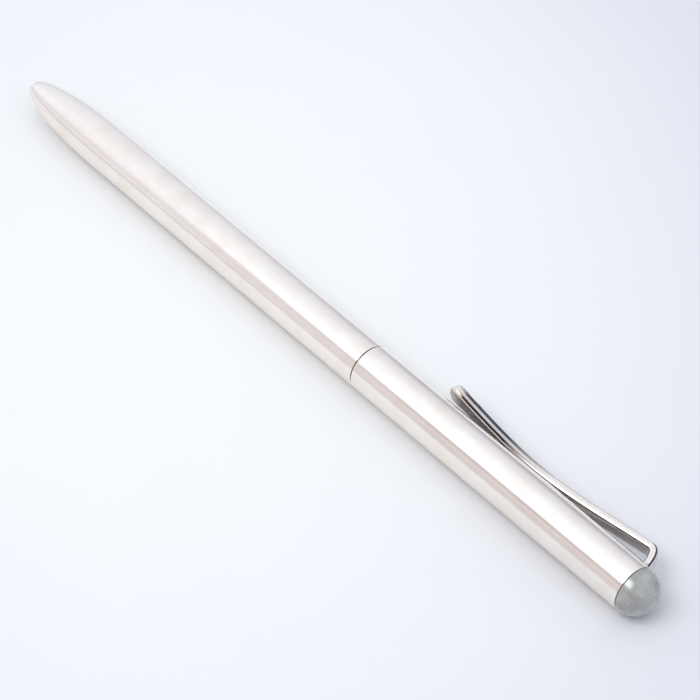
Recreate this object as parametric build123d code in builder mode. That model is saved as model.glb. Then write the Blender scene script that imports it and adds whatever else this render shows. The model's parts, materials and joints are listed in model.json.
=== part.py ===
"""A slim twist-action pen lying on its side.

Frame: +X runs along the pen from the writing end to the domed end, +Z is up, and the pen rests on z = 0.
The origin is the middle of the bounding box's underside.  The clip stands out to +Y.
Lengths are in millimetres.
"""

from build123d import *
import math
import os

# ---- driving dimensions ----------------------------------------------------
BARREL_R = 3.6                 # outside radius of both barrel halves
BARREL_WALL = 0.4
LOWER_LENGTH = 78.7            # mouth to the seam between the halves
UPPER_LENGTH = 53.85           # that seam to the foot of the dome
DOME_HEIGHT = 3.75
SEAM_GAP = 0.16                # dark line between the halves
SEAM_EDGE = 0.19               # rounding of both barrels' edges along it
DOME_GAP = 0.10                # dark line under the dome

NOSE_LENGTH = 18.79            # tapered end: r = R * sqrt(1 - (distance / NOSE_REACH) ** NOSE_POWER)
NOSE_REACH = 19.73
NOSE_POWER = 2.92
MOUTH_R = 1.2                  # opening in the tip
LIP = 0.12                     # depth of the rounded rim around it

CLIP_WIDTH = 2.3
CLIP_THICKNESS = 1.3
TONGUE_TRIM = 0.1              # brings the tongue's round end inside the bar's sloping end face
CLIP_CLEARANCE = 0.04          # gap left where the clip rests on the barrel
CLIP_TIP_FROM_SEAM = 10.7      # end of the rounded tongue
CLIP_TIP_LIFT = 1.92           # height of the tongue's underside above the barrel
CLIP_TOUCH_FROM_SEAM = 30.2    # where the clip rests on the barrel
CLIP_BEND_FROM_SEAM = 50.3     # centre of the bend at the clip's root
CLIP_BEND_CENTRE_R = 5.08
CLIP_BEND_INNER_R = 0.75
CLIP_ARM_SLOPE = 7.5           # degrees that the arm rises where it meets the bend
CLIP_FOOT_LEAN = 34            # degrees between the foot and the radial direction
PIVOT_CLEARANCE = 0.03         # round the axis that stands for the clip's flexing

TWIST_TRAVEL = 5.5             # how far half a turn pushes the refill out
PIN_R = 0.45
SLOT_WIDTH = 1.06

REFILL_LENGTH = 116.6
REFILL_R = 1.6
REFILL_BORE_R = 1.4
REFILL_SETBACK = 2.2           # how far inside the mouth the ball lies when retracted
BALL_R = 0.35

# ---- places worked out from them --------------------------------------------
TOTAL_LENGTH = LOWER_LENGTH + UPPER_LENGTH + DOME_HEIGHT
TIP_X = -TOTAL_LENGTH / 2
SEAM_X = TIP_X + LOWER_LENGTH
LOWER_END_X = SEAM_X - SEAM_GAP / 2
UPPER_START_X = SEAM_X + SEAM_GAP / 2
DOME_SEAM_X = SEAM_X + UPPER_LENGTH
DOME_FOOT_X = DOME_SEAM_X + DOME_GAP
TOP_X = DOME_SEAM_X + DOME_HEIGHT
BORE_R = BARREL_R - BARREL_WALL
CLIP_TOP_R = CLIP_BEND_CENTRE_R + CLIP_BEND_INNER_R + CLIP_THICKNESS
AXIS_Y = (BARREL_R - CLIP_TOP_R) / 2
AXIS_Z = BARREL_R

# In the profile plane, local x is the row's X and local y is the distance from the pen's axis.
PROFILE = Plane(origin=(0, AXIS_Y, AXIS_Z), x_dir=(1, 0, 0), z_dir=(0, 0, 1))
PLAN = Plane(origin=(0, AXIS_Y, AXIS_Z), x_dir=(1, 0, 0), z_dir=(0, -1, 0))
PEN_AXIS = Axis((0, AXIS_Y, AXIS_Z), (1, 0, 0))


def station(x):
    """The plane across the pen at x, facing the dome."""
    return Plane(origin=(x, AXIS_Y, AXIS_Z), x_dir=(0, 1, 0), z_dir=(1, 0, 0))


def nose_point(x):
    """The point of the nose's outline at x."""
    distance = max(TIP_X + NOSE_LENGTH - x, 0) / NOSE_REACH
    return (x, BARREL_R * math.sqrt(1 - distance**NOSE_POWER))


# ---- lower half: barrel, liner and nose bush ---------------------------------
NOSE_STEPS = 9
NOSE_CROWDING = 1.6            # brings the outline's points closer together towards the tip
NOSE_RUN = NOSE_LENGTH - LIP
nose_outline = [
    nose_point(TIP_X + LIP + NOSE_RUN * (step / NOSE_STEPS) ** NOSE_CROWDING) for step in range(NOSE_STEPS + 1)
]
LIP_OUTER = nose_outline[0]
LIP_INNER = (TIP_X + LIP, MOUTH_R)
LIP_CREST = (TIP_X, (MOUTH_R + LIP_OUTER[1]) / 2)
NOSE_BORE = (TIP_X + 1.2, 1.5)         # the cone inside the nose, from its narrow end
NOSE_WAIST = (TIP_X + 6, 2.5)
NOSE_BACK = (TIP_X + 13, BORE_R)
NOSE_COUNTERBORE_X = TIP_X + 7.6       # the bush's wider bore clears the refill's tube
NOSE_COUNTERBORE_R = 1.7
LINER_BORE_R = 2.8
LINER_END_X = SEAM_X - 0.6

with BuildPart() as lower_barrel:
    with BuildSketch(PROFILE):
        with BuildLine():
            Spline(*nose_outline)
            Polyline(
                nose_outline[-1],
                (LOWER_END_X - SEAM_EDGE, BARREL_R),
            )
            RadiusArc((LOWER_END_X - SEAM_EDGE, BARREL_R), (LOWER_END_X, BARREL_R - SEAM_EDGE), SEAM_EDGE)
            Polyline(
                (LOWER_END_X, BARREL_R - SEAM_EDGE),
                (LOWER_END_X, BORE_R),
                NOSE_BACK,
                NOSE_WAIST,
                NOSE_BORE,
                (NOSE_BORE[0], MOUTH_R),
                LIP_INNER,
            )
            ThreePointArc(LIP_INNER, LIP_CREST, LIP_OUTER)
        make_face()
    revolve(axis=PEN_AXIS)

with BuildPart() as lower_liner:
    with BuildSketch(station(NOSE_BACK[0])):
        Circle(BORE_R)
        Circle(LINER_BORE_R, mode=Mode.SUBTRACT)
    extrude(amount=LINER_END_X - NOSE_BACK[0])

with BuildPart() as nose_bush:
    with BuildSketch(PROFILE):
        with BuildLine():
            Polyline(
                (NOSE_BORE[0], MOUTH_R),
                NOSE_BORE,
                NOSE_WAIST,
                NOSE_BACK,
                (NOSE_BACK[0], NOSE_COUNTERBORE_R),
                (NOSE_COUNTERBORE_X, NOSE_COUNTERBORE_R),
                (NOSE_COUNTERBORE_X, MOUTH_R),
                close=True,
            )
        make_face()
    revolve(axis=PEN_AXIS)

# ---- core: what stays still while the upper half turns ------------------------
JOURNAL_R = 2.76               # the coupling sleeve's running and plug-in surfaces
COLLAR_R = 3.0
COLLAR_HALF = 0.5
SLEEVE_BORE_R = 1.9
SLEEVE_START_X = SEAM_X - 14
SLEEVE_STEP_X = SEAM_X + 7.5
SLEEVE_END_X = SEAM_X + 13.5
GUIDE_R = 2.7
GUIDE_BORE_R = 2.3
O_RING_X = {"coupling_o_ring": SEAM_X - 10, "drag_o_ring": SEAM_X + 4}
O_RING_CORD_R = 0.22
O_RING_CENTRE_R = JOURNAL_R - O_RING_CORD_R + 0.02
GROOVE_HALF = 0.3

with BuildPart() as coupling_sleeve:
    with BuildSketch(PROFILE):
        with BuildLine():
            Polyline(
                (SLEEVE_START_X, SLEEVE_BORE_R),
                (SLEEVE_START_X, JOURNAL_R),
                (SEAM_X - COLLAR_HALF, JOURNAL_R),
                (SEAM_X - COLLAR_HALF, COLLAR_R),
                (SEAM_X + COLLAR_HALF, COLLAR_R),
                (SEAM_X + COLLAR_HALF, JOURNAL_R),
                (SLEEVE_STEP_X, JOURNAL_R),
                (SLEEVE_STEP_X, GUIDE_BORE_R),
                (SLEEVE_END_X, GUIDE_BORE_R),
                (SLEEVE_END_X, SLEEVE_BORE_R),
                close=True,
            )
        make_face()
        with Locations(*[(x, JOURNAL_R) for x in O_RING_X.values()]):
            Rectangle(2 * GROOVE_HALF, 2 * (JOURNAL_R - O_RING_CENTRE_R + O_RING_CORD_R), mode=Mode.SUBTRACT)
    revolve(axis=PEN_AXIS)

with BuildPart() as coupling_o_ring:
    with BuildSketch(PROFILE):
        with Locations((O_RING_X["coupling_o_ring"], O_RING_CENTRE_R)):
            Circle(O_RING_CORD_R)
    revolve(axis=PEN_AXIS)

with BuildPart() as drag_o_ring:
    with BuildSketch(PROFILE):
        with Locations((O_RING_X["drag_o_ring"], O_RING_CENTRE_R)):
            Circle(O_RING_CORD_R)
    revolve(axis=PEN_AXIS)

SEAM_RING_R = 3.36
SEAM_RING_THICKNESS = 0.12
with BuildPart() as seam_ring:
    with BuildSketch(station(SEAM_X - SEAM_RING_THICKNESS / 2)):
        Circle(SEAM_RING_R)
        Circle(COLLAR_R, mode=Mode.SUBTRACT)
    extrude(amount=SEAM_RING_THICKNESS)

# ---- the screw-in refill and the carriage that moves it ------------------------
REFILL_TIP_X = TIP_X + REFILL_SETBACK
REFILL_END_X = REFILL_TIP_X + REFILL_LENGTH
THREAD_R = 1.65
THREAD_LENGTH = 6.7
TUBE_START_X = REFILL_TIP_X + 11.5
TUBE_END_X = REFILL_END_X - 11.1
BALL_X = REFILL_TIP_X + BALL_R
SOCKET_R = BALL_R + 0.02
NIB_FRONT_X = REFILL_TIP_X + 0.2
NIB_FRONT_R = 0.42
NIB_SHOULDER_X = NIB_FRONT_X + 3.2
NIB_R = 1.15
NIB_END_X = TUBE_START_X + 3
INK_CHANNEL_R = 0.2
SOCKET_MOUTH_R = math.sqrt(SOCKET_R**2 - (BALL_X - NIB_FRONT_X) ** 2)
SOCKET_BACK_X = BALL_X + math.sqrt(SOCKET_R**2 - INK_CHANNEL_R**2)
INK_END_X = TUBE_START_X + 72
FOLLOWER_END_X = INK_END_X + 5
PLUG_DEPTH = 4

CARRIAGE_START_X = REFILL_END_X - THREAD_LENGTH
CARRIAGE_END_X = REFILL_END_X + 3.1
CARRIAGE_R = 2.24
PIN_X = REFILL_END_X + 1.7
PIN_HALF_LENGTH = BORE_R - 0.12

with BuildPart() as refill_nib:
    with BuildSketch(PROFILE):
        with BuildLine():
            ThreePointArc((NIB_FRONT_X, SOCKET_MOUTH_R), (BALL_X, SOCKET_R), (SOCKET_BACK_X, INK_CHANNEL_R))
            Polyline(
                (SOCKET_BACK_X, INK_CHANNEL_R),
                (NIB_END_X, INK_CHANNEL_R),
                (NIB_END_X, REFILL_BORE_R),
                (TUBE_START_X, REFILL_BORE_R),
                (TUBE_START_X, NIB_R),
                (NIB_SHOULDER_X, NIB_R),
                (NIB_FRONT_X, NIB_FRONT_R),
                (NIB_FRONT_X, SOCKET_MOUTH_R),
            )
        make_face()
    revolve(axis=PEN_AXIS)

with BuildPart() as writing_ball:
    with Locations((BALL_X, AXIS_Y, AXIS_Z)):
        Sphere(BALL_R)

with BuildPart() as refill_tube:
    with BuildSketch(station(TUBE_START_X)):
        Circle(REFILL_R)
        Circle(REFILL_BORE_R, mode=Mode.SUBTRACT)
    extrude(amount=TUBE_END_X - TUBE_START_X)

with BuildPart() as ink_column:
    with BuildSketch(station(NIB_END_X)):
        Circle(REFILL_BORE_R)
    extrude(amount=INK_END_X - NIB_END_X)

with BuildPart() as ink_follower:
    with BuildSketch(station(INK_END_X)):
        Circle(REFILL_BORE_R)
    extrude(amount=FOLLOWER_END_X - INK_END_X)

with BuildPart() as refill_plug:
    with BuildSketch(PROFILE):
        with BuildLine():
            Polyline(
                (TUBE_END_X - PLUG_DEPTH, 0),
                (TUBE_END_X - PLUG_DEPTH, REFILL_BORE_R),
                (TUBE_END_X, REFILL_BORE_R),
                (TUBE_END_X, REFILL_R),
                (CARRIAGE_START_X, REFILL_R),
                (CARRIAGE_START_X, THREAD_R),
                (REFILL_END_X, THREAD_R),
                (REFILL_END_X, 0),
                close=True,
            )
        make_face()
    revolve(axis=PEN_AXIS)

with BuildPart() as carriage:
    with BuildSketch(station(CARRIAGE_START_X)):
        Circle(CARRIAGE_R)
    extrude(amount=CARRIAGE_END_X - CARRIAGE_START_X)
    with BuildSketch(station(CARRIAGE_START_X)):
        Circle(THREAD_R)
    extrude(amount=THREAD_LENGTH, mode=Mode.SUBTRACT)
    with BuildSketch(PROFILE):
        with Locations((PIN_X, 0)):
            Circle(PIN_R)
    extrude(amount=CARRIAGE_R, both=True, mode=Mode.SUBTRACT)

with BuildPart() as follower_pin:
    with BuildSketch(PROFILE):
        with Locations((PIN_X, 0)):
            Circle(PIN_R)
    extrude(amount=PIN_HALF_LENGTH, both=True)

# ---- twist mechanism: straight slots inside, helical slots outside -------------
CAM_START_X = PIN_X - TWIST_TRAVEL - 2.5
CAM_END_X = PIN_X + 3
CAM_BORE_R = GUIDE_R + 0.05
CAM_MEAN_R = (CAM_BORE_R + BORE_R) / 2
SLOT_DEPTH = 1.0
WAVE_WASHER_THICKNESS = 0.3
WAVE_WASHER_X = CAM_END_X + 0.02
RETAINER_X = WAVE_WASHER_X + WAVE_WASHER_THICKNESS
RETAINER_THICKNESS = 0.5
RETAINER_GROOVE_R = 2.5
RETAINER_R = 3.1
RETAINER_GAP = 2.6
GUIDE_END_X = RETAINER_X + 1.4

with BuildPart() as guide_tube:
    with BuildSketch(station(SLEEVE_STEP_X)):
        Circle(GUIDE_R)
        Circle(GUIDE_BORE_R, mode=Mode.SUBTRACT)
    extrude(amount=GUIDE_END_X - SLEEVE_STEP_X)
    with BuildSketch(PROFILE):
        with Locations((PIN_X - TWIST_TRAVEL / 2, 0)):
            SlotCenterToCenter(TWIST_TRAVEL, SLOT_WIDTH)
    extrude(amount=GUIDE_R, both=True, mode=Mode.SUBTRACT)
    with BuildSketch(station(RETAINER_X)):
        Circle(GUIDE_R)
        Circle(RETAINER_GROOVE_R, mode=Mode.SUBTRACT)
    extrude(amount=RETAINER_THICKNESS, mode=Mode.SUBTRACT)

with BuildPart() as cam_sleeve:
    with BuildSketch(station(CAM_START_X)):
        Circle(BORE_R)
        Circle(CAM_BORE_R, mode=Mode.SUBTRACT)
    extrude(amount=CAM_END_X - CAM_START_X)
    with BuildLine() as slot_path:
        Helix(
            pitch=2 * TWIST_TRAVEL,
            height=TWIST_TRAVEL,
            radius=CAM_MEAN_R,
            center=(PIN_X - TWIST_TRAVEL, AXIS_Y, AXIS_Z),
            direction=(1, 0, 0),
        )
    with BuildSketch(Plane(slot_path.line @ 0, x_dir=(0, 0, 1), z_dir=slot_path.line % 0)) as slot_section:
        Rectangle(SLOT_DEPTH, SLOT_WIDTH)
    slot = sweep(slot_section.sketch, path=slot_path.line, is_frenet=True, mode=Mode.PRIVATE)
    for turn in (0, 180):
        add(slot.rotate(PEN_AXIS, turn), mode=Mode.SUBTRACT)
    with BuildSketch(PROFILE):
        with Locations((PIN_X, 0), (PIN_X - TWIST_TRAVEL, 0)):
            Circle(SLOT_WIDTH / 2)
    extrude(amount=BORE_R, both=True, mode=Mode.SUBTRACT)

with BuildPart() as wave_washer:
    with BuildSketch(station(WAVE_WASHER_X)):
        Circle(RETAINER_R)
        Circle(CAM_BORE_R, mode=Mode.SUBTRACT)
    extrude(amount=WAVE_WASHER_THICKNESS)

with BuildPart() as retaining_ring:
    with BuildSketch(station(RETAINER_X)):
        Circle(RETAINER_R)
        Circle(RETAINER_GROOVE_R, mode=Mode.SUBTRACT)
        with Locations((0, -RETAINER_R)):
            Rectangle(RETAINER_GAP, 2 * RETAINER_R - RETAINER_GROOVE_R, mode=Mode.SUBTRACT)
    extrude(amount=RETAINER_THICKNESS)

# ---- upper half: barrel, bush, plug, clip and dome -----------------------------
FRONT_BUSH_X = SEAM_X + COLLAR_HALF + 0.1
FRONT_BUSH_LENGTH = 6.3
FRONT_BUSH_BORE_R = JOURNAL_R + 0.05
PLUG_START_X = DOME_SEAM_X - 4.2
STUD_R = 0.9
STUD_START_X = PLUG_START_X - 0.3
STUD_END_X = DOME_SEAM_X + 2
NOTCH_START_X = DOME_SEAM_X - 1.9
NOTCH_WIDTH = CLIP_WIDTH + 0.04
TENON_INNER_R = 2.2

with BuildPart() as upper_barrel:
    with BuildSketch(PROFILE):
        with BuildLine():
            RadiusArc((UPPER_START_X, BARREL_R - SEAM_EDGE), (UPPER_START_X + SEAM_EDGE, BARREL_R), SEAM_EDGE)
            Polyline(
                (UPPER_START_X + SEAM_EDGE, BARREL_R),
                (DOME_SEAM_X, BARREL_R),
                (DOME_SEAM_X, BORE_R),
                (UPPER_START_X, BORE_R),
                (UPPER_START_X, BARREL_R - SEAM_EDGE),
            )
        make_face()
    revolve(axis=PEN_AXIS)
    with BuildSketch(PROFILE):
        with Locations(((NOTCH_START_X + DOME_SEAM_X) / 2, BARREL_R)):
            Rectangle(DOME_SEAM_X - NOTCH_START_X, 3 * BARREL_WALL)
    extrude(amount=NOTCH_WIDTH / 2, both=True, mode=Mode.SUBTRACT)

with BuildPart() as front_bush:
    with BuildSketch(station(FRONT_BUSH_X)):
        Circle(BORE_R)
        Circle(FRONT_BUSH_BORE_R, mode=Mode.SUBTRACT)
    extrude(amount=FRONT_BUSH_LENGTH)

with BuildPart() as end_plug:
    with BuildSketch(station(PLUG_START_X)):
        Circle(BORE_R)
        Circle(STUD_R, mode=Mode.SUBTRACT)
    extrude(amount=DOME_SEAM_X - PLUG_START_X)
    with BuildSketch(PROFILE):
        with Locations(((NOTCH_START_X + DOME_SEAM_X) / 2, TENON_INNER_R + BARREL_R / 2)):
            Rectangle(DOME_SEAM_X - NOTCH_START_X, BARREL_R)
    extrude(amount=NOTCH_WIDTH / 2, both=True, mode=Mode.SUBTRACT)

slope = math.radians(CLIP_ARM_SLOPE)
lean = math.radians(CLIP_FOOT_LEAN)
CLIP_HALF = CLIP_THICKNESS / 2
BEND_R = CLIP_BEND_INNER_R + CLIP_HALF
BEND_X = SEAM_X + CLIP_BEND_FROM_SEAM
ARM_START = (SEAM_X + CLIP_TIP_FROM_SEAM, BARREL_R + CLIP_TIP_LIFT + CLIP_HALF)
ARM_TOUCH = (SEAM_X + CLIP_TOUCH_FROM_SEAM, BARREL_R + CLIP_CLEARANCE + CLIP_HALF)
PIVOT = (BEND_X - BEND_R * math.sin(slope), CLIP_BEND_CENTRE_R + BEND_R * math.cos(slope))
FOOT_TOP = (BEND_X + BEND_R * math.cos(lean), CLIP_BEND_CENTRE_R + BEND_R * math.sin(lean))
BEND_MIDDLE_ANGLE = (math.pi / 2 + slope + lean) / 2
BEND_MIDDLE = (
    BEND_X + BEND_R * math.cos(BEND_MIDDLE_ANGLE),
    CLIP_BEND_CENTRE_R + BEND_R * math.sin(BEND_MIDDLE_ANGLE),
)
FOOT_LENGTH = 3.2
FOOT_END = (FOOT_TOP[0] + FOOT_LENGTH * math.sin(lean), FOOT_TOP[1] - FOOT_LENGTH * math.cos(lean))

with BuildPart() as clip_root:
    with BuildSketch(PROFILE):
        with BuildLine():
            ThreePointArc(PIVOT, BEND_MIDDLE, FOOT_TOP)
            Line(FOOT_TOP, FOOT_END)
        trace(line_width=CLIP_THICKNESS)
        with Locations(((NOTCH_START_X + DOME_SEAM_X) / 2, (TENON_INNER_R + BARREL_R) / 2)):
            Rectangle(DOME_SEAM_X - NOTCH_START_X, BARREL_R - TENON_INNER_R)
        with Locations(PIVOT):
            Circle(CLIP_HALF + PIVOT_CLEARANCE, mode=Mode.SUBTRACT)
        with Locations((DOME_SEAM_X + BARREL_R, BARREL_R)):
            Rectangle(2 * BARREL_R, 4 * BARREL_R, mode=Mode.SUBTRACT)
    extrude(amount=CLIP_WIDTH / 2, both=True)

with BuildPart() as clip_arm:
    with BuildSketch(PROFILE):
        with BuildLine():
            Spline(ARM_START, ARM_TOUCH, PIVOT, tangents=[(1, -0.12), (math.cos(slope), math.sin(slope))])
        trace(line_width=CLIP_THICKNESS)
        with Locations(PIVOT):
            Circle(CLIP_HALF)
    extrude(amount=CLIP_WIDTH / 2, both=True)
    with BuildSketch(PLAN):
        with Locations((ARM_START[0] + CLIP_WIDTH / 2 + TONGUE_TRIM, 0)):
            Circle(CLIP_WIDTH / 2)
            Rectangle(PIVOT[0] + CLIP_WIDTH - ARM_START[0], CLIP_WIDTH, align=(Align.MIN, Align.CENTER))
    extrude(amount=-2 * CLIP_TOP_R, mode=Mode.INTERSECT)

FINIAL_WASHER_R = 3.4
DOME_EDGE = 0.08
with BuildPart() as finial_washer:
    with BuildSketch(station(DOME_SEAM_X)):
        Circle(FINIAL_WASHER_R)
        Circle(STUD_R, mode=Mode.SUBTRACT)
    extrude(amount=DOME_GAP)

with BuildPart() as finial_stud:
    with BuildSketch(station(STUD_START_X)):
        Circle(STUD_R)
    extrude(amount=STUD_END_X - STUD_START_X)

with BuildPart() as finial_stone:
    with BuildSketch(PROFILE):
        with BuildLine():
            Polyline(
                (TOP_X, 0),
                (DOME_FOOT_X, 0),
                (DOME_FOOT_X, BARREL_R - DOME_EDGE),
                (DOME_FOOT_X + DOME_EDGE, BARREL_R),
            )
            EllipticalCenterArc(
                (DOME_FOOT_X + DOME_EDGE, 0), TOP_X - DOME_FOOT_X - DOME_EDGE, BARREL_R, start_angle=0, arc_size=90
            )
        make_face()
    revolve(axis=PEN_AXIS)
    with BuildSketch(station(DOME_FOOT_X)):
        Circle(STUD_R)
    extrude(amount=STUD_END_X - DOME_FOOT_X, mode=Mode.SUBTRACT)

# ---- one STEP file for each piece ---------------------------------------------
pieces = {
    "lower_barrel": lower_barrel,
    "lower_liner": lower_liner,
    "nose_bush": nose_bush,
    "coupling_sleeve": coupling_sleeve,
    "coupling_o_ring": coupling_o_ring,
    "drag_o_ring": drag_o_ring,
    "seam_ring": seam_ring,
    "guide_tube": guide_tube,
    "wave_washer": wave_washer,
    "retaining_ring": retaining_ring,
    "upper_barrel": upper_barrel,
    "front_bush": front_bush,
    "cam_sleeve": cam_sleeve,
    "end_plug": end_plug,
    "clip_root": clip_root,
    "clip_arm": clip_arm,
    "finial_washer": finial_washer,
    "finial_stud": finial_stud,
    "finial_stone": finial_stone,
    "carriage": carriage,
    "follower_pin": follower_pin,
    "refill_plug": refill_plug,
    "refill_tube": refill_tube,
    "ink_column": ink_column,
    "ink_follower": ink_follower,
    "refill_nib": refill_nib,
    "writing_ball": writing_ball,
}
os.makedirs("parts", exist_ok=True)
for name, piece in pieces.items():
    piece.part.label = name
    export_step(piece.part, f"parts/{name}.step")
    print(name, round(piece.part.volume, 2))
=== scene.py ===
"""The looks of a slim twist-action pen: polished silver, a stone dome and a pale studio."""

import json
import math

import bmesh
import bpy
import numpy as np
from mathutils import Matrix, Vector


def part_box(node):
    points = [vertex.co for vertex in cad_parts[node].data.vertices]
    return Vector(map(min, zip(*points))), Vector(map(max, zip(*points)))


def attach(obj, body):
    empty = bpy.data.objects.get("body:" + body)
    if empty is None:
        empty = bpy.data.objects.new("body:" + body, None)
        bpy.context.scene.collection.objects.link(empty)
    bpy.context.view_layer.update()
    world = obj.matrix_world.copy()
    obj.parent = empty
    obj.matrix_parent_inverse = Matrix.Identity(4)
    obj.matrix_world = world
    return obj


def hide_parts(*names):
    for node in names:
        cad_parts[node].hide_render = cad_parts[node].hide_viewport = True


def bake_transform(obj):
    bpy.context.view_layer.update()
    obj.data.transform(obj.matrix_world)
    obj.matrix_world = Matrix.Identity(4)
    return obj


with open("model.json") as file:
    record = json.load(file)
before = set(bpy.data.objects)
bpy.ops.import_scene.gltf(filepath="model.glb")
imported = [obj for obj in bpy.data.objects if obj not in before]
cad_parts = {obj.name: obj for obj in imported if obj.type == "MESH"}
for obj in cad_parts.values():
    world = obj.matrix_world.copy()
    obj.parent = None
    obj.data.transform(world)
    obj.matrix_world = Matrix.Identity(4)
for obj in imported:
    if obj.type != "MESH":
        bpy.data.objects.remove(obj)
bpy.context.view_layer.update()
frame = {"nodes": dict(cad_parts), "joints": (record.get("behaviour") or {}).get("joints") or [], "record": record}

# ---- places and sizes, in metres -------------------------------------------------
MM = 0.001
joints = {joint["name"]: joint for joint in frame["joints"]}
SEAM = Vector(joints["barrel_twist"]["pos_m"])
TIP_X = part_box("lower_barrel")[0].x
LOWER_END_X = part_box("lower_barrel")[1].x
UPPER_START_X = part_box("upper_barrel")[0].x
DOME_SEAM_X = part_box("upper_barrel")[1].x
DOME_FOOT_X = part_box("finial_stone")[0].x
TOP_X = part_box("finial_stone")[1].x

BARREL_R = 3.6 * MM
BORE_R = 3.2 * MM
SEAM_EDGE = 0.15 * MM
DOME_SEAM_EDGE = 0.05 * MM
NOSE_LENGTH = 18.79 * MM
NOSE_REACH = 20.1 * MM  # this and the power make the nose up to 0.16 mm slimmer than the CAD nose
NOSE_POWER = 2.3
NOSE_STEPS = 90
NOSE_CROWDING = 1.7  # brings the outline's points closer together towards the tip
MOUTH_R = 1.2 * MM
LIP = 0.12 * MM
NOSE_BORE = (1.2 * MM, 1.5 * MM)  # the cone inside the nose, as distances from the tip and radii
NOSE_WAIST = (6 * MM, 2.5 * MM)
NOSE_BACK = 13 * MM
BORE_EDGE = 0.02 * MM
STUD_R = 0.9 * MM
STUD_DEPTH = 1.9 * MM
DOME_EDGE = 0.1 * MM

CLIP_HALF_WIDTH = 1.15 * MM
CLIP_HALF = 0.65 * MM
CLIP_CORNER = 0.5 * MM
TONGUE_SWELL = 0.27
TONGUE_SWELL_LENGTH = 1.7 * MM
TONGUE_TRIM = 0.1 * MM
CLIP_TIP_FROM_SEAM = 10.7 * MM
CLIP_TIP_LIFT = 1.92 * MM
CLIP_TOUCH_FROM_SEAM = 30.2 * MM
CLIP_CLEARANCE = 0.04 * MM
BEND_CENTRE = (SEAM.x + 50.3 * MM, 5.08 * MM)
BEND_R = 1.4 * MM
ARM_SLOPE = math.radians(7.5)
FOOT_LEAN = math.radians(34)
FOOT_END_LEAN = math.radians(12)
FOOT_R = 6.4 * MM
NOTCH_START_FROM_SEAM = 51.74 * MM
NOTCH_END_FROM_SEAM = 53.16 * MM
NOTCH_CLEARANCE = 0.02 * MM
NOTCH_COLUMNS = 24
NOTCH_ROWS = 4
AROUND_STEPS = 240


# ---- mesh helpers -----------------------------------------------------------------
def finished(name, verts, faces, marks=None, sharp_angle=40):
    """A smooth-shaded object that keeps its sharp edges; marks are named numbers, one for each vertex."""
    mesh = bpy.data.meshes.new(name)
    mesh.from_pydata(verts, [], faces)
    for mark, numbers in (marks or {}).items():
        mesh.attributes.new(mark, "FLOAT", "POINT").data.foreach_set("value", numbers)
    work = bmesh.new()
    work.from_mesh(mesh)
    bmesh.ops.remove_doubles(work, verts=work.verts, dist=1e-7)
    bmesh.ops.recalc_face_normals(work, faces=work.faces)
    work.to_mesh(mesh)
    work.free()
    mesh.shade_smooth()
    mesh.set_sharp_from_angle(angle=math.radians(sharp_angle))
    obj = bpy.data.objects.new(name, mesh)
    bpy.context.scene.collection.objects.link(obj)
    return obj


def turned(name, outline, angles, closed=True, left_out=None, extra_faces=()):
    """A piece made by turning the outline, [(x, radius)], about the pen's axis."""
    count = len(angles)
    verts = [(x, SEAM.y + r * math.cos(a), SEAM.z + r * math.sin(a)) for x, r in outline for a in angles]
    faces = list(extra_faces)
    for i in range(len(outline) - (not closed)):
        j = (i + 1) % len(outline)
        for k in range(count):
            n = (k + 1) % count
            if not (left_out and left_out(i, k)):
                faces.append((i * count + k, j * count + k, j * count + n, i * count + n))
    return finished(name, verts, faces)


def arc(centre, radius, start, end, steps):
    """Points (x, radius) on a circular arc, angles in degrees from +x towards larger radius."""
    angles = [math.radians(start + (end - start) * i / steps) for i in range(steps + 1)]
    return [(centre[0] + radius * math.cos(a), centre[1] + radius * math.sin(a)) for a in angles]


def spread(start, end, steps):
    """Evenly spaced numbers from start to end, both included."""
    return [start + (end - start) * i / steps for i in range(steps + 1)]


AROUND = [2 * math.pi * k / AROUND_STEPS for k in range(AROUND_STEPS)]


# ---- lower barrel -----------------------------------------------------------------
def nose_r(x):
    """The nose's outside radius at x."""
    distance = max(TIP_X + NOSE_LENGTH - x, 0) / NOSE_REACH
    return BARREL_R * math.sqrt(1 - distance**NOSE_POWER)


lip_r = nose_r(TIP_X + LIP)
lip_half = (lip_r - MOUTH_R) / 2
lip = [
    (TIP_X + LIP * (1 - math.sin(math.radians(a))), MOUTH_R + lip_half * (1 - math.cos(math.radians(a))))
    for a in range(0, 181, 15)
]
nose_places = [
    TIP_X + LIP + (NOSE_LENGTH - LIP) * (i / NOSE_STEPS) ** NOSE_CROWDING for i in range(1, NOSE_STEPS + 1)
]
nose = [(x, nose_r(x)) for x in nose_places]
body_end = LOWER_END_X - SEAM_EDGE
lower_outline = (
    lip
    + nose
    + [(x, BARREL_R) for x in spread(TIP_X + NOSE_LENGTH + MM, body_end - 0.1 * MM, 40)]
    + arc((body_end, BARREL_R - SEAM_EDGE), SEAM_EDGE, 90, 0, 6)
    + [(LOWER_END_X, BORE_R + BORE_EDGE), (LOWER_END_X - BORE_EDGE, BORE_R)]
    + [(TIP_X + NOSE_BACK, BORE_R), (TIP_X + NOSE_WAIST[0], NOSE_WAIST[1])]
    + [(TIP_X + NOSE_BORE[0], NOSE_BORE[1]), (TIP_X + NOSE_BORE[0], MOUTH_R)]
)
lower_barrel = turned("barrel_lower", lower_outline, AROUND)
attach(lower_barrel, "lower_half")
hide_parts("lower_barrel")

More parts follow.
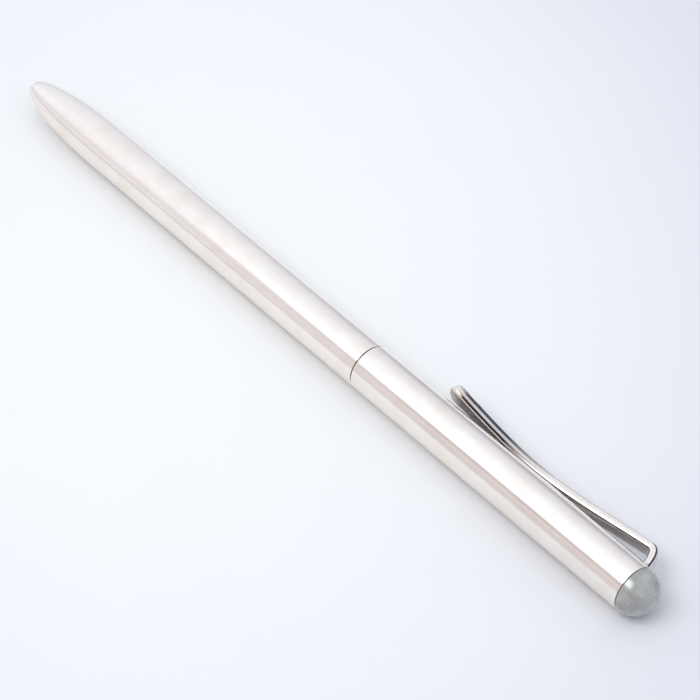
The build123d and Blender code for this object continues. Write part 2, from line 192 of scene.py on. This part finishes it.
# ---- upper barrel, with the notch that the clip's foot stands in ---------------------
notch_turn = math.asin((CLIP_HALF_WIDTH + NOTCH_CLEARANCE) / BARREL_R)
upper_angles = spread(-notch_turn, notch_turn, NOTCH_COLUMNS)
upper_angles += spread(notch_turn, 2 * math.pi - notch_turn, AROUND_STEPS - NOTCH_COLUMNS)[1:-1]
notch_start_x = SEAM.x + NOTCH_START_FROM_SEAM
notch_end_x = SEAM.x + NOTCH_END_FROM_SEAM
upper_outer = (
    arc((UPPER_START_X + SEAM_EDGE, BARREL_R - SEAM_EDGE), SEAM_EDGE, 180, 90, 6)
    + [(x, BARREL_R) for x in spread(UPPER_START_X + SEAM_EDGE + 0.1 * MM, notch_start_x, 36)]
    + [(x, BARREL_R) for x in spread(notch_start_x, notch_end_x, NOTCH_ROWS)[1:]]
    + [(DOME_SEAM_X - 2 * DOME_SEAM_EDGE, BARREL_R)]
    + arc((DOME_SEAM_X - DOME_SEAM_EDGE, BARREL_R - DOME_SEAM_EDGE), DOME_SEAM_EDGE, 90, 0, 4)
)
upper_outline = upper_outer + [(x, BORE_R) for x, _ in reversed(upper_outer)]
columns = len(upper_angles)
rows = len(upper_outline)
notch_row = next(i for i, (x, _) in enumerate(upper_outer) if x >= notch_start_x - 1e-9)
notch_end_row = notch_row + NOTCH_ROWS


def in_notch(i, k):
    """Whether the face from row i and column k lies in the notch."""
    outside = notch_row <= i < notch_end_row
    inside = rows - 1 - notch_end_row <= i < rows - 1 - notch_row
    return k < NOTCH_COLUMNS and (outside or inside)


def across(i, k):
    """The vertex on the bore that lies under the outside's row i and column k."""
    return (rows - 1 - i) * columns + k


notch_walls = [
    (i * columns + k, (i + 1) * columns + k, across(i + 1, k), across(i, k))
    for i in range(notch_row, notch_end_row)
    for k in (0, NOTCH_COLUMNS)
] + [
    (i * columns + k, i * columns + k + 1, across(i, k + 1), across(i, k))
    for i in (notch_row, notch_end_row)
    for k in range(NOTCH_COLUMNS)
]
upper_barrel = turned("barrel_upper", upper_outline, upper_angles, left_out=in_notch, extra_faces=notch_walls)
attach(upper_barrel, "upper_half")
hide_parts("upper_barrel")

# ---- stone dome -------------------------------------------------------------------
dome_curve = [
    (DOME_FOOT_X + DOME_EDGE + (TOP_X - DOME_FOOT_X - DOME_EDGE) * math.sin(a), BARREL_R * math.cos(a))
    for a in spread(0, math.pi / 2, 48)
]
dome_outline = (
    [(DOME_FOOT_X + STUD_DEPTH, 0), (DOME_FOOT_X + STUD_DEPTH, STUD_R), (DOME_FOOT_X, STUD_R)]
    + [(DOME_FOOT_X, BARREL_R - DOME_EDGE)]
    + arc((DOME_FOOT_X + DOME_EDGE, BARREL_R - DOME_EDGE), DOME_EDGE, 180, 90, 4)[1:-1]
    + dome_curve
)
dome = turned("dome_stone", dome_outline, AROUND[::2], closed=False)
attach(dome, "upper_half")
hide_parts("finial_stone")


# ---- clip: one bent bar with rounded edges ---------------------------------------
def clamped_spline(points, first, last, steps):
    """Places and directions on a curve through three points, given its first and last directions."""
    a, b, c = points
    h, k = (b - a).length, (c - b).length
    middle = (3 * ((b - a) / h**2 + (c - b) / k**2) - first / h - last / k) / (2 / h + 2 / k)
    found = []
    for p, q, m, n, length in ((a, b, first, middle, h), (b, c, middle, last, k)):
        for i in range(steps):
            t = i / steps
            place = (2 * t**3 - 3 * t**2 + 1) * p + (3 * t**2 - 2 * t**3) * q
            place += length * ((t**3 - 2 * t**2 + t) * m + (t**3 - t**2) * n)
            way = (6 * t**2 - 6 * t) * (p - q) / length + (3 * t**2 - 4 * t + 1) * m + (3 * t**2 - 2 * t) * n
            found.append((place, way.normalized()))
    return found


arm_start = Vector((SEAM.x + CLIP_TIP_FROM_SEAM, BARREL_R + CLIP_TIP_LIFT + CLIP_HALF))
arm_touch = Vector((SEAM.x + CLIP_TOUCH_FROM_SEAM, BARREL_R + CLIP_CLEARANCE + CLIP_HALF))
arm_end = Vector(
    (BEND_CENTRE[0] - BEND_R * math.sin(ARM_SLOPE), BEND_CENTRE[1] + BEND_R * math.cos(ARM_SLOPE))
)
arm_way = Vector((math.cos(ARM_SLOPE), math.sin(ARM_SLOPE)))
tongue_x = arm_start.x + CLIP_HALF_WIDTH + TONGUE_TRIM
tongue_way = Vector((1, -0.12)).normalized()
bar = clamped_spline((arm_start, arm_touch, arm_end), tongue_way, arm_way, 48)
bar = [(place, way) for place, way in bar if place.x >= tongue_x]
foot_centre = Vector(BEND_CENTRE) + (BEND_R - FOOT_R) * Vector((math.cos(FOOT_LEAN), math.sin(FOOT_LEAN)))
for centre, radius, angles in (
    (Vector(BEND_CENTRE), BEND_R, spread(math.pi / 2 + ARM_SLOPE, FOOT_LEAN, 24)),
    (foot_centre, FOOT_R, spread(FOOT_LEAN, FOOT_END_LEAN, 10)[1:]),
):
    for angle in angles:
        out = Vector((math.cos(angle), math.sin(angle)))
        bar.append((centre + radius * out, Vector((out.y, -out.x))))

half_section = [(w, CLIP_HALF) for w in spread(0, CLIP_HALF_WIDTH - CLIP_CORNER, 4)[:-1]]
half_section += arc((CLIP_HALF_WIDTH - CLIP_CORNER, CLIP_HALF - CLIP_CORNER), CLIP_CORNER, 90, 0, 8)
half_section += [(CLIP_HALF_WIDTH, 0)]
half_section += [(w, -n) for w, n in reversed(half_section[:-1])]


# how much further out the bar's back stands than its even thickness, from the tongue to the bend
BACK_FADE = 4 * MM
BACK_PLACES = (tongue_x, tongue_x + BACK_FADE, arm_end.x - BACK_FADE, arm_end.x)
BACK_RISES = (0.18 * MM, 0.34 * MM, 0.2 * MM, 0)


def bar_point(place, way, along, w, n):
    """The point w across the bar and n out of it; across is turned by along towards the tongue."""
    swell = TONGUE_SWELL * math.exp(-(((place.x - tongue_x) / TONGUE_SWELL_LENGTH) ** 2))
    w, n = w * (1 + swell), n * (1 + 0.6 * swell)
    if n > 0:
        n *= 1 + float(np.interp(place.x, BACK_PLACES, BACK_RISES)) / CLIP_HALF
    x = place.x - way.y * n - math.sin(along) * way.x * w
    r = place.y + way.x * n - math.sin(along) * way.y * w
    return (x, SEAM.y + r, SEAM.z + math.cos(along) * w)


clip_verts = [bar_point(place, way, 0, w, n) for place, way in bar for w, n in half_section]
clip_verts += [bar_point(place, way, 0, -w, n) for place, way in bar for w, n in half_section]
clip_depths = [n / CLIP_HALF for _ in 2 * bar for _, n in half_section]
clip_runs = [i / (len(bar) - 1) for _ in range(2) for i in range(len(bar)) for _ in half_section]
side = len(half_section)
half_count = len(bar) * side
clip_faces = []
for i in range(len(bar) - 1):
    for k in range(side - 1):
        a = i * side + k
        clip_faces.append((a, a + 1, a + side + 1, a + side))
        b = half_count + a
        clip_faces.append((b, b + side, b + side + 1, b + 1))
foot_ring = [half_count - side + k for k in range(side)]
clip_faces.append(foot_ring + [half_count + index for index in reversed(foot_ring[1:-1])])
TONGUE_STEPS = 24
cap_start = len(clip_verts)
for along in spread(0, math.pi, TONGUE_STEPS):
    clip_verts += [bar_point(*bar[0], along, w, n) for w, n in half_section]
    clip_depths += [n / CLIP_HALF for _, n in half_section]
    clip_runs += [-math.sin(along) * w / CLIP_HALF_WIDTH / len(bar) for w, _ in half_section]
for i in range(TONGUE_STEPS):
    for k in range(side - 1):
        a = cap_start + i * side + k
        clip_faces.append((a, a + side, a + side + 1, a + 1))
clip = finished("clip_bar", clip_verts, clip_faces, {"depth": clip_depths, "run": clip_runs})
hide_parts("clip_arm", "clip_root")
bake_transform(clip)


# ---- materials --------------------------------------------------------------------
def new_material(name):
    """A material, its node tree's new-node and link calls, and its main shader."""
    material = bpy.data.materials.new(name)
    material.use_nodes = True
    nodes, links = material.node_tree.nodes, material.node_tree.links
    return material, nodes, links, nodes["Principled BSDF"]


def object_noise(nodes, links, stretch, scale, detail=4, roughness=0.55):
    """Noise over the piece's own coordinates, stretched by a factor in each direction."""
    coordinates = nodes.new("ShaderNodeTexCoord")
    mapping = nodes.new("ShaderNodeMapping")
    mapping.inputs["Scale"].default_value = stretch
    links.new(coordinates.outputs["Object"], mapping.inputs["Vector"])
    noise = nodes.new("ShaderNodeTexNoise")
    noise.inputs["Scale"].default_value = scale
    noise.inputs["Detail"].default_value = detail
    noise.inputs["Roughness"].default_value = roughness
    links.new(mapping.outputs["Vector"], noise.inputs["Vector"])
    return noise.outputs["Fac"]


def ramp(nodes, links, factor, stops):
    """A colour ramp with stops [(position, (r, g, b))]."""
    node = nodes.new("ShaderNodeValToRGB")
    elements = node.color_ramp.elements
    elements[0].position, elements[-1].position = stops[0][0], stops[-1][0]
    for position, _ in stops[1:-1]:
        elements.new(position)
    for element, (_, colour) in zip(elements, stops):
        element.color = (*colour, 1)
    links.new(factor, node.inputs["Fac"])
    return node.outputs["Color"]


def ranged(nodes, links, factor, low, high, start=0.0, end=1.0):
    """The factor's start to end spread over low to high."""
    node = nodes.new("ShaderNodeMapRange")
    node.inputs["From Min"].default_value = start
    node.inputs["From Max"].default_value = end
    node.inputs["To Min"].default_value = low
    node.inputs["To Max"].default_value = high
    links.new(factor, node.inputs["Value"])
    return node.outputs["Result"]


def bump(nodes, links, height, distance, strength=1.0, below=None):
    """A bump of that many metres, on top of another one."""
    node = nodes.new("ShaderNodeBump")
    node.inputs["Distance"].default_value = distance
    node.inputs["Strength"].default_value = strength
    links.new(height, node.inputs["Height"])
    if below:
        links.new(below, node.inputs["Normal"])
    return node.outputs["Normal"]


def blended(nodes, links, factor, first, second):
    """The first colour turning into the second as the factor goes from 0 to 1; sockets or numbers."""
    mix = nodes.new("ShaderNodeMix")
    mix.data_type = "RGBA"
    links.new(factor, mix.inputs["Factor"])
    for colour, socket in ((first, mix.inputs["A"]), (second, mix.inputs["B"])):
        if isinstance(colour, tuple):
            socket.default_value = (*colour, 1)
        else:
            links.new(colour, socket)
    return mix.outputs["Result"]


CLEAN = (1, 1, 1)
# the next six colours are painted reflections and painted shade for the clip, multiplied into its silver
LIGHT_PAINTED_REFLECTION = (0.72, 0.72, 0.76)
GREY_PAINTED_SHADE = (0.36, 0.33, 0.33)
PALE_PAINTED_REFLECTION = (0.80, 0.83, 0.92)
BLUE_PAINTED_REFLECTION = (0.10, 0.10, 0.13)
LINE_PAINTED_REFLECTION = (0.07, 0.07, 0.08)
BLACK_PAINTED_REFLECTION = (0.035, 0.03, 0.035)
SILVER = (0.93, 0.87, 0.815)
DULLER_SILVER = (0.90, 0.825, 0.755)
BRASS = (0.80, 0.62, 0.34)
DULLER_BRASS = (0.66, 0.48, 0.24)
STEEL = (0.66, 0.66, 0.68)
DULLER_STEEL = (0.56, 0.56, 0.58)


def metal(name, colour, darker, roughness, streak=(120, 900, 900), wave=0.0, scratch=0.0):
    """A metal with streaks of roughness, tarnish in its colour, slow waves and fine scratches."""
    material, nodes, links, shader = new_material(name)
    shader.inputs["Metallic"].default_value = 1
    tarnish_and_painted_light = object_noise(nodes, links, (1, 1, 1), 260, 5)
    links.new(ramp(nodes, links, tarnish_and_painted_light, [(0.35, darker), (0.6, colour)]), shader.inputs["Base Color"])
    lines = object_noise(nodes, links, streak, 1, 4, 0.7)
    links.new(ranged(nodes, links, lines, *roughness, 0.3, 0.7), shader.inputs["Roughness"])
    slow = object_noise(nodes, links, (0.35, 1, 1), 420, 1)
    normal = bump(nodes, links, slow, wave)
    scratches = object_noise(nodes, links, streak, 3, 3, 0.6)
    links.new(bump(nodes, links, scratches, scratch, below=normal), shader.inputs["Normal"])
    return material


def clip_material():
    """Silver with painted shade on the clip's inner face and painted reflections in dark and pale lines by its
    edges, most near the tongue.
    """
    material = metal("silver_clip", SILVER, DULLER_SILVER, (0.07, 0.16), wave=4e-6, scratch=6e-7)
    nodes, links = material.node_tree.nodes, material.node_tree.links
    shader = nodes["Principled BSDF"]
    clean = shader.inputs["Base Color"].links[0].from_socket
    depth, run = nodes.new("ShaderNodeAttribute"), nodes.new("ShaderNodeAttribute")
    depth.attribute_name, run.attribute_name = "depth", "run"
    uneven = object_noise(nodes, links, (0.4, 1, 1), 900, 4, 0.7)
    wander = nodes.new("ShaderNodeMath")
    wander.operation = "ADD"
    links.new(ranged(nodes, links, depth.outputs["Fac"], 0, 1, -1, 1), wander.inputs[0])
    links.new(ranged(nodes, links, uneven, -0.018, 0.018, 0.3, 0.7), wander.inputs[1])
    # across the bar near the tongue, from its inner face to its back: painted shade on the inner face, then
    # painted reflections as a bright line, a black line, a light band and a dark blue strip
    lines = [(0, GREY_PAINTED_SHADE), (0.035, GREY_PAINTED_SHADE), (0.055, CLEAN), (0.09, CLEAN), (0.125, BLACK_PAINTED_REFLECTION)]
    lines += [(0.34, BLACK_PAINTED_REFLECTION), (0.40, LIGHT_PAINTED_REFLECTION), (0.60, LIGHT_PAINTED_REFLECTION), (0.66, BLUE_PAINTED_REFLECTION)]
    near_tongue = ramp(nodes, links, wander.outputs["Value"], lines + [(0.95, BLUE_PAINTED_REFLECTION), (0.975, CLEAN)])
    # further along the bar and round the bend: painted reflections as a pale inner face, a thin black line by the
    # inner edge, and a pale or black line along the back
    thin_lines = [(0, PALE_PAINTED_REFLECTION), (0.03, PALE_PAINTED_REFLECTION), (0.05, BLACK_PAINTED_REFLECTION), (0.10, BLACK_PAINTED_REFLECTION)]
    thin_lines += [(0.14, CLEAN)]
    back_edge = [(0.86, CLEAN), (0.9, PALE_PAINTED_REFLECTION), (0.96, CLEAN)]
    near_bend = ramp(nodes, links, wander.outputs["Value"], thin_lines + back_edge)
    back_line = [(0.70, CLEAN), (0.75, LINE_PAINTED_REFLECTION), (0.88, LINE_PAINTED_REFLECTION), (0.93, PALE_PAINTED_REFLECTION)]
    at_bend = ramp(nodes, links, wander.outputs["Value"], thin_lines + back_line)
    stretch = ranged(nodes, links, run.outputs["Fac"], 0, 1, 0.22, 0.42)
    round_bend = ranged(nodes, links, run.outputs["Fac"], 0, 1, 0.74, 0.80)
    beyond = blended(nodes, links, round_bend, near_bend, at_bend)
    painted_shade_and_reflections = blended(nodes, links, stretch, near_tongue, beyond)
    tongue_end = ranged(nodes, links, run.outputs["Fac"], 0, 1, -0.006, 0.03)
    # the painted shade and painted reflections fade out at the tongue's very end
    tarnish_and_painted_light = blended(nodes, links, tongue_end, CLEAN, painted_shade_and_reflections)
    both = nodes.new("ShaderNodeMix")
    both.data_type = "RGBA"
    both.blend_type = "MULTIPLY"
    both.inputs["Factor"].default_value = 1
    links.new(clean, both.inputs["A"])
    links.new(tarnish_and_painted_light, both.inputs["B"])
    links.new(both.outputs["Result"], shader.inputs["Base Color"])
    return material


silver = metal("silver_polished", SILVER, DULLER_SILVER, (0.05, 0.12), wave=4e-6, scratch=4e-7)
clip_silver = clip_material()
brass = metal("brass_machined", BRASS, DULLER_BRASS, (0.16, 0.34), streak=(2500, 150, 150), scratch=2e-6)
steel = metal("steel_bright", STEEL, DULLER_STEEL, (0.12, 0.28), streak=(150, 900, 900), scratch=1e-6)


def dull(name, colour, lighter, roughness, grain=3000, height=4e-6, coat=0.0):
    """A plastic, rubber or ink with a fine grain and a slight variation of colour."""
    material, nodes, links, shader = new_material(name)
    patches = object_noise(nodes, links, (1, 1, 1), 500, 3)
    links.new(ramp(nodes, links, patches, [(0.3, colour), (0.7, lighter)]), shader.inputs["Base Color"])
    fine = object_noise(nodes, links, (1, 1, 1), grain, 2)
    links.new(ranged(nodes, links, fine, *roughness), shader.inputs["Roughness"])
    links.new(bump(nodes, links, fine, height), shader.inputs["Normal"])
    shader.inputs["Coat Weight"].default_value = coat
    return material


black_nylon = dull("nylon_black", (0.022, 0.021, 0.021), (0.04, 0.038, 0.037), (0.5, 0.7))
bush_plastic = dull("plastic_ivory", (0.76, 0.73, 0.65), (0.82, 0.79, 0.72), (0.35, 0.5))
rubber = dull("rubber_black", (0.03, 0.03, 0.03), (0.055, 0.055, 0.055), (0.6, 0.8))
ink = dull("ink_black", (0.008, 0.008, 0.014), (0.015, 0.015, 0.025), (0.08, 0.15), coat=0.5)
ink_grease = dull("ink_gel", (0.70, 0.67, 0.54), (0.78, 0.75, 0.64), (0.15, 0.25), coat=0.3)


def stone_material():
    """Mottled grey stone under a clear coat, with a few small dark pits."""
    material, nodes, links, shader = new_material("stone_mottled")
    clouds = object_noise(nodes, links, (1, 1, 1), 420, 6, 0.6)
    colours = [(0.32, (0.11, 0.11, 0.09)), (0.46, (0.19, 0.19, 0.175)), (0.55, (0.235, 0.235, 0.225))]
    colours += [(0.70, (0.33, 0.33, 0.315))]
    body = ramp(nodes, links, clouds, colours)
    pits = object_noise(nodes, links, (1, 1, 1), 2300, 2, 0.4)
    pit_mask = ranged(nodes, links, pits, 1, 0, 0.23, 0.28)
    pitted = blended(nodes, links, pit_mask, body, (0.09, 0.085, 0.07))
    links.new(pitted, shader.inputs["Base Color"])
    links.new(ranged(nodes, links, clouds, 0.34, 0.2, 0.3, 0.7), shader.inputs["Roughness"])
    surface = bump(nodes, links, clouds, 2e-5, 0.6)
    pits_down = bump(nodes, links, ranged(nodes, links, pit_mask, 1, 0), 3e-5, 1, surface)
    links.new(pits_down, shader.inputs["Normal"])
    shader.inputs["IOR"].default_value = 2.2
    shader.inputs["Coat Weight"].default_value = 1.0
    shader.inputs["Coat IOR"].default_value = 1.8
    shader.inputs["Coat Roughness"].default_value = 0.15
    return material


stone = stone_material()

lower_barrel.data.materials.append(silver)
upper_barrel.data.materials.append(silver)
clip.data.materials.append(clip_silver)
dome.data.materials.append(stone)

FINISH = {
    "silver": silver,
    "brass": brass,
    "steel": steel,
    "black_nylon": black_nylon,
    "bush_plastic": bush_plastic,
    "rubber": rubber,
    "stone": stone,
    "ink": ink,
    "ink_grease": ink_grease,
}
for part in frame["record"]["subparts"]:
    node = frame["nodes"][part["node"]]
    if not node.material_slots:
        node.data.materials.append(None)
    for material_slot in node.material_slots:
        material_slot.material = FINISH[part["material_slot"]]

# ---- floor --------------------------------------------------------------------------
FLOOR_HALF = 4
# the floor's colour has a painted pool of light: it is palest in an oval round the pen, which lies along the
# pool's longer side
LIGHT_POOL_CENTRE = (-0.022, -0.014, 0)
LIGHT_POOL_TURN = math.radians(49.45)
LIGHT_POOL_REACH = (0.141, 0.199, 1)
floor = bpy.data.objects.new("floor", bpy.data.meshes.new("floor"))
floor_corners = [(x * FLOOR_HALF, y * FLOOR_HALF, 0) for x, y in ((-1, -1), (1, -1), (1, 1), (-1, 1))]
floor.data.from_pydata(floor_corners, [], [(0, 1, 2, 3)])
bpy.context.scene.collection.objects.link(floor)
paper, nodes, links, shader = new_material("floor_pale")
coordinates = nodes.new("ShaderNodeTexCoord")
pool = nodes.new("ShaderNodeMapping")
pool.vector_type = "TEXTURE"
pool.inputs["Location"].default_value = LIGHT_POOL_CENTRE
pool.inputs["Rotation"].default_value = (0, 0, LIGHT_POOL_TURN)
pool.inputs["Scale"].default_value = LIGHT_POOL_REACH
links.new(coordinates.outputs["Object"], pool.inputs["Vector"])
distance = nodes.new("ShaderNodeVectorMath")
distance.operation = "DOT_PRODUCT"
links.new(pool.outputs["Vector"], distance.inputs[0])
links.new(pool.outputs["Vector"], distance.inputs[1])
tone = object_noise(nodes, links, (1, 1, 1), 30, 3)
spotted = nodes.new("ShaderNodeMath")
spotted.operation = "ADD"
links.new(distance.outputs["Value"], spotted.inputs[0])
links.new(ranged(nodes, links, tone, -0.012, 0.012, 0.3, 0.7), spotted.inputs[1])
# painted light: the floor is paler inside the pool round the pen and darker away from it, with a little random
# tone
painted_light_tones = [(0, (0.768, 0.768, 0.76)), (0.41, (0.622, 0.624, 0.658)), (0.8, (0.53, 0.54, 0.585))]
links.new(ramp(nodes, links, spotted.outputs["Value"], painted_light_tones), shader.inputs["Base Color"])
shader.inputs["Roughness"].default_value = 0.9
shader.inputs["Specular IOR Level"].default_value = 0.1
floor.data.materials.append(paper)

# ---- soft studio light: a pale room with a long white panel overhead --------------------
world = bpy.data.worlds.new("studio")
world.use_nodes = True
bpy.context.scene.world = world
nodes, links = world.node_tree.nodes, world.node_tree.links
coordinates = nodes.new("ShaderNodeTexCoord")
direction = nodes.new("ShaderNodeSeparateXYZ")
links.new(coordinates.outputs["Generated"], direction.inputs["Vector"])
turn = nodes.new("ShaderNodeMath")
turn.operation = "ARCTAN2"
links.new(direction.outputs["Z"], turn.inputs[0])
links.new(direction.outputs["Y"], turn.inputs[1])
half_turn = ranged(nodes, links, turn.outputs["Value"], 0, 1, 0, math.pi)
PEAK = 1.3


def sky(stops):
    """The light at each angle, in degrees from +Y over the top to -Y, as colours up to PEAK."""
    return ramp(nodes, links, half_turn, [(a / 180, tuple(c / PEAK for c in colour)) for a, colour in stops])


overhead = [(62, (0.94, 0.97, 1.04)), (75, (1.03, 1.09, 1.16))]
overhead += [(88, (1.10, 1.16, 1.24)), (137, (1.12, 1.19, 1.27))]
pale_end = sky(
    [
        (0, (0.76, 0.78, 0.87)),
        (16, (0.83, 0.87, 0.98)),
        (49, (0.90, 0.94, 1.02)),
        (75, (0.96, 0.99, 1.06)),
        (105, (1.01, 1.05, 1.12)),
        (134, (1.0, 1.03, 1.11)),
        (146, (0.94, 0.95, 1.02)),
        (157, (0.84, 0.83, 0.90)),
        (169, (0.92, 0.92, 0.98)),
        (180, (0.86, 0.85, 0.89)),
    ]
)
middle = sky(
    [(0, (0.42, 0.42, 0.47)), (16, (0.60, 0.62, 0.69)), (33, (0.80, 0.82, 0.90)), (49, (0.86, 0.90, 0.98))]
    + overhead
    + [(141, (0.68, 0.63, 0.66)), (147, (0.66, 0.62, 0.65)), (157, (0.82, 0.77, 0.79))]
    + [(169, (0.71, 0.68, 0.70)), (180, (0.80, 0.78, 0.81))]
)
dark_end = sky(
    [(0, (0.70, 0.71, 0.76)), (14, (0.80, 0.82, 0.88)), (30, (0.90, 0.92, 0.99)), (46, (0.95, 0.98, 1.05))]
    + overhead
    + [(141, (0.74, 0.71, 0.74)), (180, (0.80, 0.78, 0.81))]
)
along = direction.outputs["X"]
to_middle = ranged(nodes, links, along, 0, 1, -0.6, -0.49)
to_dark = ranged(nodes, links, along, 0, 1, -0.46, -0.25)
room = blended(nodes, links, to_dark, blended(nodes, links, to_middle, pale_end, middle), dark_end)
room_shader = nodes["Background"]
room_shader.inputs["Strength"].default_value = PEAK
links.new(room, room_shader.inputs["Color"])

# the panel's bright middle, which only the upper half of the pen mirrors
CORE_STRENGTH = 3.2
DARK = (0, 0, 0)
LIT = (1, 1, 1)
core_sides = ramp(nodes, links, half_turn, [(0.56, DARK), (0.62, LIT), (0.72, LIT), (0.75, DARK)])
core_reach = ranged(nodes, links, along, 0, 1, -0.56, 0.24)
core_ends = ramp(nodes, links, core_reach, [(0, DARK), (0.14, LIT), (0.75, LIT), (1, DARK)])
across_core = nodes.new("ShaderNodeMath")
across_core.operation = "MULTIPLY"
links.new(core_sides, across_core.inputs[0])
links.new(core_ends, across_core.inputs[1])
core_shader = nodes.new("ShaderNodeBackground")
core_shader.inputs["Strength"].default_value = CORE_STRENGTH
links.new(across_core.outputs["Value"], core_shader.inputs["Color"])
both = nodes.new("ShaderNodeAddShader")
links.new(room_shader.outputs["Background"], both.inputs[0])
links.new(core_shader.outputs["Background"], both.inputs[1])
links.new(both.outputs["Shader"], nodes["World Output"].inputs["Surface"])

# ---- camera -------------------------------------------------------------------------
AZIMUTH = math.radians(49.45)
ELEVATION = math.radians(45.74)
DISTANCE = 0.4595
LENS = 166.8
SENSOR_WIDTH = 36
TARGET_FROM_SEAM = Vector((-0.855, -0.256, 0.471))  # in barrel radii
target = SEAM + BARREL_R * TARGET_FROM_SEAM
away = Vector(
    (math.sin(AZIMUTH) * math.cos(ELEVATION), -math.cos(AZIMUTH) * math.cos(ELEVATION), math.sin(ELEVATION))
)
camera = bpy.data.objects.new("camera", bpy.data.cameras.new("camera"))
camera.location = target + DISTANCE * away
camera.rotation_euler = (math.pi / 2 - ELEVATION, 0, AZIMUTH)
camera.data.lens = LENS
camera.data.sensor_width = SENSOR_WIDTH
camera.data.clip_start = 0.01
bpy.context.scene.collection.objects.link(camera)
bpy.context.scene.camera = camera
bpy.context.scene.view_settings.view_transform = "Standard"
